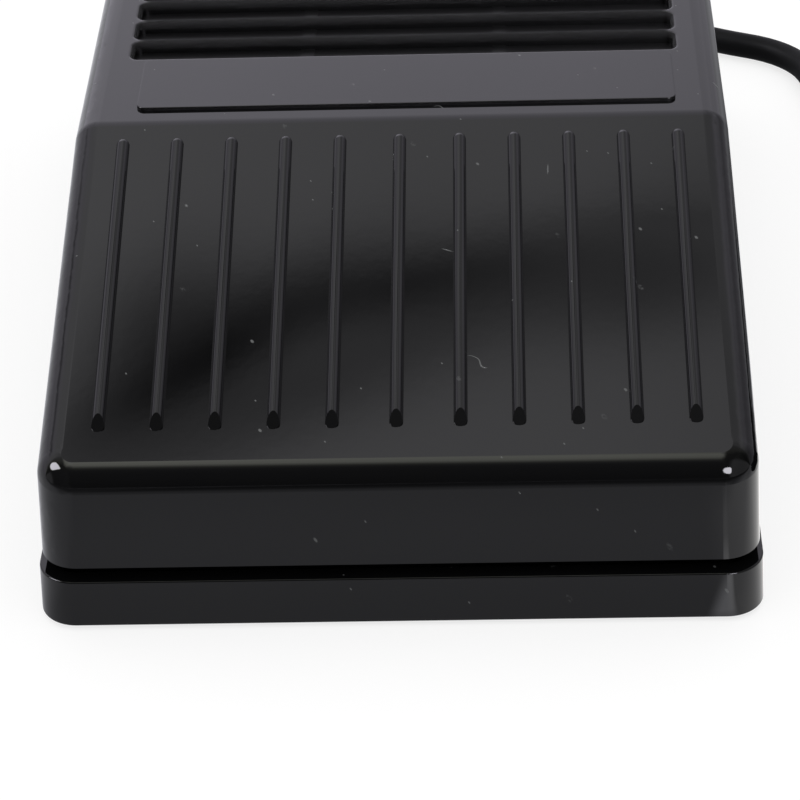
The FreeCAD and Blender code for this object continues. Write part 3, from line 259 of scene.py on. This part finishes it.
def gloss_black(name, colour, dust=1.0, rough=0.03, level=0.34, satin=None):
    """Moulded gloss plastic with a faint ripple, smears, dust, hairs and fine scratches."""
    s = Shader(name)
    smear = s.noise(55.0, 4.0, 0.6)
    cloud = s.noise(14.0, 2.0)
    marks = s.specks(4.2 * MM, 0.1 * dust, 0.16 * MM)
    hairs = s.curled(700.0, 1.6 * MM)
    lint = s.product(s.specks(5.3 * MM, 0.2 * dust, 0.26 * MM), s.ramp(s.noise(3000.0), 0.4, 0.6), 0.35)
    for mark in (lint, s.specks(1.7 * MM, 0.05 * dust, 0.09 * MM),
                 s.scratches(0.5, 3.0 * MM, 0.05 * dust, 0.07 * MM, 0.6 * MM),
                 s.scratches(1.9, 4.0 * MM, 0.06 * dust, 0.06 * MM, 0.5 * MM),
                 s.scratches(2.0, 5.0 * MM, 0.12 * dust, 0.08 * MM, 0.7 * MM, hairs)):
        marks = s.math("MAXIMUM", marks, mark)
    if satin:
        duller = satin(s)
        marks = s.product(marks, s.ramp(duller, 0.0, 0.05, 1.0, 0.0))
    shade = s.mix(s.ramp(cloud, 0.35, 0.65), colour, [c * 1.35 for c in colour])
    s.plug(s.surface.inputs["Base Color"], s.mix(s.math("MULTIPLY", marks, 0.3), shade, MARK_COLOUR))
    worn = s.total(s.ramp(smear, 0.35, 0.75, rough, rough + 0.02), s.product(marks, 0.35))
    if satin:
        worn = s.total(worn, duller)
    s.plug(s.surface.inputs["Roughness"], worn)
    ripple = s.bump(s.noise(38.0, 1.0), 0.02 * MM, 0.5)
    fine = s.bump(s.noise(900.0, 2.0), 0.002 * MM, 0.4, ripple)
    s.plug(s.surface.inputs["Normal"], fine)
    s.surface.inputs["IOR"].default_value = 1.5
    s.surface.inputs["Specular IOR Level"].default_value = level
    return s.material


def matt(name, colour, rough=0.55, grain=600.0, depth=0.02 * MM, spread=0.25):
    """A moulded or painted surface with a fine grain and a little variation in colour and sheen."""
    s = Shader(name)
    cloud = s.noise(90.0, 3.0)
    s.plug(s.surface.inputs["Base Color"],
           s.mix(s.ramp(cloud, 0.3, 0.7), [c * (1 - spread) for c in colour], colour))
    s.plug(s.surface.inputs["Roughness"],
           s.ramp(s.noise(240.0, 3.0), 0.3, 0.7, rough - 0.07, rough + 0.07))
    s.plug(s.surface.inputs["Normal"], s.bump(s.noise(grain, 3.0), depth, 0.6))
    return s.material


def jacket(name):
    """The cord's soft jacket: nearly black, satin, with a fine drag along it and a little bloom."""
    s = Shader(name)
    bloom = s.noise(120.0, 3.0)
    s.plug(s.surface.inputs["Base Color"],
           s.mix(s.ramp(bloom, 0.35, 0.7), (0.0052, 0.0054, 0.0058), (0.008, 0.0083, 0.0086)))
    s.plug(s.surface.inputs["Roughness"], s.ramp(s.noise(420.0, 2.0), 0.3, 0.7, 0.46, 0.56))
    s.plug(s.surface.inputs["Normal"], s.bump(s.noise(1400.0, 2.0), 0.01 * MM, 0.5))
    s.surface.inputs["Specular IOR Level"].default_value = 0.06
    return s.material


def metal(name, colour, rough=0.3, stretch=(1.0, 1.0, 1.0)):
    """Plated or drawn metal, a little brushed and a little tarnished."""
    s = Shader(name)
    s.surface.inputs["Metallic"].default_value = 1.0
    grain = s.noise(900.0, 3.0, where=s.stretched(*stretch))
    stain = s.noise(160.0, 3.0)
    s.plug(s.surface.inputs["Base Color"],
           s.mix(s.ramp(stain, 0.4, 0.75), colour, [c * 0.86 for c in colour]))
    s.plug(s.surface.inputs["Roughness"], s.ramp(grain, 0.3, 0.7, rough - 0.08, rough + 0.12))
    s.plug(s.surface.inputs["Normal"], s.bump(grain, 0.01 * MM, 0.5))
    return s.material


def dress(material, *names):
    """Give CAD nodes a material."""
    for name in names:
        NODES[name].data.materials.clear()
        NODES[name].data.materials.append(material)


def dress_all():
    """The materials of the CAD's own pieces."""
    dress(gloss_black("cover_plastic", (0.0021, 0.0021, 0.0023), satin=groove_satin), "pedal_cover")
    dress(gloss_black("base_plastic", (0.0022, 0.0022, 0.0024), dust=0.8, rough=0.04), "base_tray")
    dress(gloss_black("label_film", (0.0028, 0.0027, 0.0033), dust=0.6, rough=0.08, satin=edge_satin),
          "label_plate")
    dress(matt("soft_rubber", (0.02, 0.02, 0.02), 0.75, 900.0, 0.04 * MM), "rubber_feet", "stop_bumpers")
    dress(metal("pin_steel", (0.55, 0.56, 0.58), 0.28, (0.05, 1.0, 1.0)), "hinge_pin")
    dress(metal("spring_steel", (0.42, 0.42, 0.44), 0.35), "spring_left", "spring_right")
    dress(metal("screw_steel", (0.6, 0.6, 0.63), 0.3), "board_screws", "clamp_screws")
    dress(matt("board_laminate", (0.01, 0.12, 0.045), 0.35, 300.0), "circuit_board")
    dress(matt("black_moulding", (0.014, 0.014, 0.015), 0.5), "sensor_housing", "controller_chip",
          "cable_clamp")
    dress(metal("lead_tin", (0.66, 0.66, 0.64), 0.35), "sensor_leads", "chip_leads")
    dress(metal("can_steel", (0.62, 0.62, 0.63), 0.25), "crystal_can")
    dress(matt("capacitor_sleeve", (0.012, 0.018, 0.09), 0.3), "electrolytic_capacitor")
    dress(matt("ceramic_tan", (0.4, 0.28, 0.16), 0.5), "ceramic_capacitors")
    dress(matt("resistor_black", (0.02, 0.02, 0.024), 0.45), "chip_resistors")
    dress(matt("connector_nylon", (0.66, 0.63, 0.54), 0.5), "board_header", "cable_socket")
    dress(metal("contact_gold", (0.83, 0.62, 0.25), 0.25), "header_pins", "plug_contacts")
    for colour, shade in (("red", (0.4, 0.015, 0.015)), ("white", (0.7, 0.7, 0.68)),
                          ("green", (0.02, 0.22, 0.05)), ("black", (0.015, 0.015, 0.015))):
        dress(matt("insulation_" + colour, shade, 0.45), "wire_" + colour)
    dress(matt("relief_rubber", (0.016, 0.016, 0.017), 0.5), "strain_relief", "inner_cable")
    dress(matt("grip_moulding", (0.017, 0.017, 0.018), 0.42, 1500.0), "plug_grip")
    dress(metal("shell_steel", (0.6, 0.6, 0.61), 0.34, (1.0, 0.1, 1.0)), "plug_shell")
    dress(matt("tongue_plastic", (0.6, 0.6, 0.58), 0.4), "plug_tongue")


def make_springs():
    """The return springs, as pieces of their own, attached to the base."""
    for name in ("spring_left", "spring_right"):
        spring = bpy.data.objects.new("return_" + name, NODES[name].data.copy())
        bpy.context.collection.objects.link(spring)
        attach(spring, "base")
        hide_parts(name)
        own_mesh(spring)


# The cord's route, in millimetres: from the strain relief along the floor, through the coil, and down to
# the plug. In LEAD_BEND the third number is a height over CORD_REST, where the cord lies on the floor. In
# TAIL_BEND places are from the coil's end, and the third number is the share of the way down to the plug.

CORD_EXIT = (0.0, 53.98, 5.3)
CORD_OUT = (0.0, 62.38, 5.3)
LEAD_BEND = [
    (4.35, 70.2, 2.2),
    (11.9, 74.1, 0.6),
    (20.4, 73.7, 0.0),
    (34.5, 63.6, 0.0),
    (45.6, 59.1, 0.0),
    (48.4, 48.9, 0.0),
    (51.2, 38.2, 0.0),
    (54.6, 27.8, 0.0),
    (57.0, 16.6, 0.0),
    (58.2, 5.4, 0.0),
    (58.5, -6.0, 0.0),
    (58.5, -16.6, 0.0),
]
CORD_REST = 1.55
COIL_OUTER = 24.09
COIL_PITCH = 3.55
COIL_LAYERS = 4
TURNS_PER_LAYER = 3.625
COIL_STUB = 3.0
STEPS_PER_TURN = 24
# How far the cord's end goes into the plug's tail.
INTO_THE_PLUG = 0.8
TAIL_BEND = [
    (0.0, 11.0, 0.0),
    (-2.2, 23.0, 0.5),
    (-6.5, 34.5, 1.0),
    (-6.5, 44.5 + INTO_THE_PLUG, 1.0),
]
PLUG_HEIGHT = 4.05


def coil_point(middle, turn):
    """Where the cord is in its coil: in and out in layers, climbing for half a turn at each reversal."""
    layer_turns = turn / TURNS_PER_LAYER
    inward = 1 - abs(1 - layer_turns % 2)
    ring = COIL_OUTER - COIL_PITCH * TURNS_PER_LAYER * inward
    angle = math.pi + 2 * math.pi * turn
    height = 0.0
    for climb in range(1, COIL_LAYERS):
        share = min(max((turn - climb * TURNS_PER_LAYER) * 2 + 0.5, 0.0), 1.0)
        height += COIL_PITCH * share * share * (3 - 2 * share)
    return middle + Vector((ring * math.cos(angle), ring * math.sin(angle), height))


def cord_points():
    """The cord's whole line, in millimetres."""
    points = [Vector(CORD_EXIT), Vector(CORD_OUT)]
    points += [Vector((x, y, CORD_REST + lift)) for x, y, lift in LEAD_BEND]
    middle = points[-1] + Vector((COIL_OUTER, -COIL_STUB, 0.0))
    steps = round(STEPS_PER_TURN * TURNS_PER_LAYER * COIL_LAYERS)
    points += [coil_point(middle, step / STEPS_PER_TURN) for step in range(steps + 1)]
    top = points[-1] + Vector((0.0, COIL_STUB, 0.0))
    points.append(top)
    for x, y, share in TAIL_BEND:
        points.append(Vector((top.x + x, top.y + y, top.z + share * (PLUG_HEIGHT - top.z))))
    return points


def make_cord():
    """The cord from the strain relief to the plug, as one smooth curve."""
    data = bpy.data.curves.new("cord", "CURVE")
    data.dimensions = "3D"
    data.bevel_depth = CORD_RADIUS
    data.bevel_resolution = 6
    data.resolution_u = 8
    data.use_fill_caps = True
    spline = data.splines.new("NURBS")
    points = cord_points()
    spline.points.add(len(points) - 1)
    for point, spot in zip(spline.points, points):
        point.co = (*(spot * MM), 1.0)
    spline.order_u = 3
    spline.use_endpoint_u = True
    data.materials.append(jacket("cord_jacket"))
    cord = bpy.data.objects.new("cord", data)
    bpy.context.collection.objects.link(cord)
    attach(cord, "base")
    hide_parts("cord_lead", "cord_coil", "cord_tail")


def make_camera():
    """The camera at the photograph's angle."""
    data = bpy.data.cameras.new("camera")
    data.sensor_width = SENSOR_WIDTH
    data.lens = FOCAL_SHARE * SENSOR_WIDTH
    data.clip_start = 0.01
    camera = bpy.data.objects.new("camera", data)
    bpy.context.collection.objects.link(camera)
    down, turn, roll = (math.radians(v) for v in (CAMERA_DOWN, CAMERA_TURN, CAMERA_ROLL))
    ahead = Vector((-math.sin(turn) * math.cos(down), math.cos(turn) * math.cos(down), -math.sin(down)))
    right = Vector((math.cos(turn), math.sin(turn), 0.0))
    up = right.cross(ahead)
    rolled_right = math.cos(roll) * right + math.sin(roll) * up
    rolled_up = -math.sin(roll) * right + math.cos(roll) * up
    turned = Matrix((rolled_right, rolled_up, -ahead)).transposed().to_4x4()
    camera.matrix_world = Matrix.Translation(CAMERA_PLACE) @ turned
    bpy.context.scene.camera = camera


# The floor's half width in metres, its grey, and the light of its own that makes it pale to the camera.
FLOOR_HALF = 4.0
FLOOR_GREY = (0.3, 0.3, 0.3, 1.0)
FLOOR_OWN_LIGHT = 0.75
# How bright the floor's painted reflection is, a glow that only the gloss shows, by its place along y in
# millimetres, which grows to the rear. It is darker further in front.
PAINTED_FLOOR_AHEAD = [(-170, 0.08), (-112, 0.15), (-97, 0.28), (-86, 0.42), (-76, 0.64), (-66, 0.68),
               (-50, 0.58), (-20, 0.62)]
# The tint of the floor's painted reflection, and the tint in its painted bright patch at the right.
FLOOR_GLOW_TINT = (0.976, 0.979, 1.045)
PAINTED_PATCH_TINT = (1.01, 1.0, 0.985)
# A painted stripe of light on the floor that only the gloss shows: a point on it, its way, half width and
# level.
PAINTED_STREAK_POINT = (31.3, -54.0)
PAINTED_STREAK_WAY = (0.27, -0.96)
PAINTED_STREAK_HALF = 1.9
PAINTED_STREAK_LEVEL = 1.6


def floor_painted_gloss(s):
    """The floor's painted reflection: how bright each place glows in the gloss, and its share in the
    painted bright patch at the right.
    """
    parts = s.add("ShaderNodeSeparateXYZ")
    s.plug(parts.inputs[0], s.place)
    # The ramps are in millimetres here, with x to the right and y to the rear.
    x = s.math("MULTIPLY", parts.outputs["X"], 1 / MM)
    y = s.math("MULTIPLY", parts.outputs["Y"], 1 / MM)
    # Painted light and shade in the floor's reflection: brighter at the left, a painted bright patch at
    # the right, painted shade behind it at the right, and a painted stripe of light.
    left = s.product(s.ramp(x, -40.0, -35.0, 0.2, 0.0, "SMOOTHSTEP"), s.ramp(y, -62.0, -50.0, 0.4, 1.0))
    right = s.product(s.ramp(x, 29.0, 34.0, kind="SMOOTHSTEP"),
                      s.ramp(x, 50.0, 85.0, 1.0, 0.2, "SMOOTHSTEP"),
                      s.ramp(y, -78.0, -66.0, kind="SMOOTHSTEP"),
                      s.ramp(y, -20.0, 0.0, 1.0, 0.0, "SMOOTHSTEP"),
                      s.ramp(y, -54.0, -42.0, 0.48, 0.98))
    behind = s.product(s.ramp(x, 34.0, 48.0), s.ramp(y, -20.0, 5.0), s.ramp(y, 60.0, 130.0, -0.42, -0.12))
    beside = s.total(s.product(s.math("SUBTRACT", x, PAINTED_STREAK_POINT[0]), -PAINTED_STREAK_WAY[1] / PAINTED_STREAK_HALF),
                     s.product(s.math("SUBTRACT", y, PAINTED_STREAK_POINT[1]), PAINTED_STREAK_WAY[0] / PAINTED_STREAK_HALF))
    painted_stripe = s.product(s.ramp(s.math("ABSOLUTE", beside), 0.3, 1.1, 1.0, 0.0, "SMOOTHSTEP"),
                       s.ramp(y, -64.0, -57.0, 0.1, 1.0), s.ramp(y, -52.0, -49.0, 1.0, 0.0))
    level = s.total(s.steps(y, PAINTED_FLOOR_AHEAD), left, right, behind, s.product(painted_stripe, PAINTED_STREAK_LEVEL))
    return level, right


def floor_paper():
    """The floor's material: pale paper to the camera, and in the gloss a painted reflection, a glow whose
    level is set by place.
    """
    s = Shader("floor_paper")
    s.surface.inputs["Base Color"].default_value = FLOOR_GREY
    s.surface.inputs["Roughness"].default_value = 0.9
    s.surface.inputs["Specular IOR Level"].default_value = 0.0
    s.surface.inputs["Emission Color"].default_value = (1.0, 1.0, 1.0, 1.0)
    path = s.add("ShaderNodeLightPath")
    seen = s.math("MAXIMUM", path.outputs["Is Camera Ray"], path.outputs["Is Transmission Ray"])
    s.plug(s.surface.inputs["Emission Strength"], s.math("MULTIPLY", seen, FLOOR_OWN_LIGHT))

    level, patch = floor_painted_gloss(s)
    # The painted reflection: for glossy rays only, the floor glows at the level and tint set by place.
    painted_glow = s.add("ShaderNodeEmission")
    s.plug(painted_glow.inputs["Color"], s.mix(patch, FLOOR_GLOW_TINT, PAINTED_PATCH_TINT))
    s.plug(painted_glow.inputs["Strength"], level)
    both = s.add("ShaderNodeMixShader")
    s.plug(both.inputs[0], path.outputs["Is Glossy Ray"])
    s.plug(both.inputs[1], s.surface.outputs["BSDF"])
    s.plug(both.inputs[2], painted_glow.outputs[0])
    s.plug(s.output.inputs["Surface"], both.outputs[0])
    return s.material


def make_floor():
    """A plain pale floor that keeps the object's shadow, and glows with a painted reflection in the
    gloss.
    """
    mesh = bpy.data.meshes.new("floor")
    corners = [(FLOOR_HALF * x, FLOOR_HALF * y, 0) for x, y in ((-1, -1), (1, -1), (1, 1), (-1, 1))]
    mesh.from_pydata(corners, [], [(0, 1, 2, 3)])
    mesh.materials.append(floor_paper())
    floor = bpy.data.objects.new("floor", mesh)
    bpy.context.collection.objects.link(floor)


# The studio's light, by direction in degrees. Tilt runs from 0 at the horizon behind the object, over
# the top, to 180 at the horizon in front, and side from -90 at the left to 90 at the right.
LIGHT_LOW_BY_SIDE = [(-60, 0.8), (-44, 0.82), (-33, 1.1), (-10, 1.47), (0, 1.29), (10, 1.03), (20, 0.92),
                     (25, 0.74), (28, 0.62), (40, 0.4), (60, 0.38)]
LIGHT_HIGH_BY_SIDE = [(-60, 0.95), (-45, 1.05), (-30, 1.14), (-20, 1.24), (-10, 1.46), (0, 1.27),
                      (8, 1.0), (14, 0.8), (24, 0.78), (34, 0.98), (42, 0.74), (50, 0.45), (60, 0.3)]
LIGHT_MIDDLE_BY_TILT = [(60, 1.0), (68, 1.12), (72, 1.3), (78, 1.75), (86, 1.55), (93, 0.95), (98, 0.4),
                        (104, 0.17), (112, 0.09), (130, 0.07), (180, 0.05)]
LIGHT_SIDES_BY_TILT = [(60, 1.0), (66, 0.95), (74, 0.4), (86, 0.12), (180, 0.1)]
# The sides between which the light over the object is the middle one, and how it slants with the side.
MIDDLE_FROM, MIDDLE_TO = -16.0, 7.0
MIDDLE_SLANT = 0.5

# Soft dark shapes in the light that the sloping panel mirrors:
# how deep each is, its side and tilt, its half length, its half width, and how it is turned.
DARK_SHAPES = [
    (0.96, -5.60, 66.16, 3.50, 0.90, -30.3),
    (0.84, -1.57, 64.70, 3.20, 0.68, -11.0),
    (0.60, -6.24, 65.35, 1.74, 1.12, -39.0),
    (0.56, 2.84, 64.80, 2.54, 1.03, -11.7),
    (0.56, -3.82, 66.77, 7.68, 0.94, -24.0),
    (0.38, 5.20, 63.60, 3.20, 0.13, 0.0),
    (0.60, -42.0, 45.0, 4.5, 6.0, 0.0),
]

# Small bright lights that only the gloss shows: side, tilt, half length, half width, and level.
GLINTS = [
    (-43.0, 92.0, 15.0, 14.0, 17.0),
    (19.0, 149.0, 10.0, 15.0, 19.0),
]
# The light's tints: low behind the object, higher, overhead, and in the small bright lights.
LOW_TINT = (0.980, 0.952, 1.068)
HIGH_TINT = (0.990, 0.985, 1.025)
OVERHEAD_TINT = (1.024, 1.040, 0.936)
GLINT_TINT = (0.99, 0.965, 1.06)
# How bright the dark side of the studio is beyond the object's sides.
AWAY_LEVEL = 0.38
# The plain level that soft surfaces see: at the horizon, and how much more overhead.
PLAIN_LEVEL = 0.75
PLAIN_RISE = 0.35


def studio_level(s, side, tilt):
    """How bright the studio is in each direction, apart from its dark shapes and small lights."""
    slanted = s.math("MULTIPLY_ADD", side, -MIDDLE_SLANT, s.math("ADD", tilt, -3 * MIDDLE_SLANT))
    middle = s.steps(s.mix_value(s.ramp(tilt, 66.0, 74.0), tilt, slanted), LIGHT_MIDDLE_BY_TILT)
    outer = s.steps(tilt, LIGHT_SIDES_BY_TILT)
    inside = s.product(s.ramp(side, MIDDLE_FROM - 2, MIDDLE_FROM + 2, kind="SMOOTHSTEP"),
                       s.ramp(side, MIDDLE_TO - 2, MIDDLE_TO + 3, 1.0, 0.0, "SMOOTHSTEP"))
    by_side = s.mix_value(s.ramp(tilt, 24.0, 38.0), s.steps(side, LIGHT_LOW_BY_SIDE),
                          s.steps(side, LIGHT_HIGH_BY_SIDE))
    return s.product(by_side, s.mix_value(inside, outer, middle))


def with_dark_shapes(s, level, side, tilt):
    """The level with each of the dark shapes taken out of it."""
    for depth, at_side, at_tilt, length, width, turn in DARK_SHAPES:
        cosine, sine = math.cos(math.radians(turn)), math.sin(math.radians(turn))
        across, along = s.math("SUBTRACT", side, at_side), s.math("SUBTRACT", tilt, at_tilt)
        u = s.total(s.product(across, cosine / length), s.product(along, sine / length))
        v = s.total(s.product(across, -sine / width), s.product(along, cosine / width))
        fall = s.math("EXPONENT", s.product(s.total(s.product(u, u), s.product(v, v)), -1.0))
        level = s.product(level, s.math("SUBTRACT", 1.0, s.product(fall, depth)))
    return level


def with_glints(s, level, tint, side, tilt):
    """The level and the tint with the small bright lights, each a rounded square, added to them."""
    for at_side, at_tilt, length, width, strength in GLINTS:
        u = s.math("ABSOLUTE", s.product(s.math("SUBTRACT", side, at_side), 1 / length))
        v = s.math("ABSOLUTE", s.product(s.math("SUBTRACT", tilt, at_tilt), 1 / width))
        reach = s.math("POWER", s.total(s.math("POWER", u, 3.0), s.math("POWER", v, 3.0)), 1 / 3)
        lit = s.ramp(reach, 0.8, 1.05, 1.0, 0.0, "SMOOTHSTEP")
        level = s.total(level, s.product(lit, strength))
        tint = s.mix(lit, tint, GLINT_TINT)
    return level, tint


def light_in_gloss(s, x, y, z):
    """The level and the tint of the studio that the gloss mirrors in each direction."""
    degrees = 180 / math.pi
    tilt = s.math("MULTIPLY", s.math("ARCTAN2", z, y), degrees)
    flat = s.math("SQRT", s.total(s.product(y, y), s.product(z, z)))
    side = s.math("MULTIPLY", s.math("ARCTAN2", x, flat), degrees)
    level = with_dark_shapes(s, studio_level(s, side, tilt), side, tilt)
    away = s.product(s.math("MAXIMUM", s.ramp(side, 18.0, 30.0, kind="SMOOTHSTEP"),
                            s.ramp(side, -68.0, -56.0, 1.0, 0.0, "SMOOTHSTEP")),
                     s.ramp(tilt, 100.0, 116.0, kind="SMOOTHSTEP"))
    level = s.total(level, s.product(away, AWAY_LEVEL))
    overhead = s.product(s.ramp(tilt, 70.0, 78.0), s.ramp(tilt, 100.0, 110.0, 1.0, 0.0))
    tint = s.mix(overhead, s.mix(s.ramp(tilt, 50.0, 62.0), LOW_TINT, HIGH_TINT), OVERHEAD_TINT)
    return with_glints(s, level, tint, side, tilt)


def background(s, colour, strength):
    """One background of the world."""
    node = s.add("ShaderNodeBackground")
    s.plug(node.inputs["Color"], colour)
    s.plug(node.inputs["Strength"], strength)
    return node.outputs[0]


def make_world():
    """A plain level for soft surfaces, the studio in the gloss, and white where the camera looks."""
    world = bpy.data.worlds.new("studio")
    bpy.context.scene.world = world
    world.use_nodes = True
    s = Nodes(world.node_tree)
    parts = s.add("ShaderNodeSeparateXYZ")
    s.plug(parts.inputs[0], s.add("ShaderNodeTexCoord").outputs["Generated"])
    level, tint = light_in_gloss(s, *parts.outputs)
    white = (1.0, 1.0, 1.0, 1.0)
    shown = background(s, white, s.total(PLAIN_LEVEL, s.product(parts.outputs["Z"], PLAIN_RISE)))
    path = s.add("ShaderNodeLightPath")
    for kind, light in (("Is Glossy Ray", background(s, tint, level)),
                        ("Is Camera Ray", background(s, white, 1.0))):
        both = s.add("ShaderNodeMixShader")
        s.plug(both.inputs[0], path.outputs[kind])
        s.plug(both.inputs[1], shown)
        s.plug(both.inputs[2], light)
        shown = both.outputs[0]
    s.plug(s.add("ShaderNodeOutputWorld").inputs["Surface"], shown)


dress_all()
make_springs()
make_cord()
make_camera()
make_floor()
make_world()
bpy.context.scene.view_settings.view_transform = "Standard"
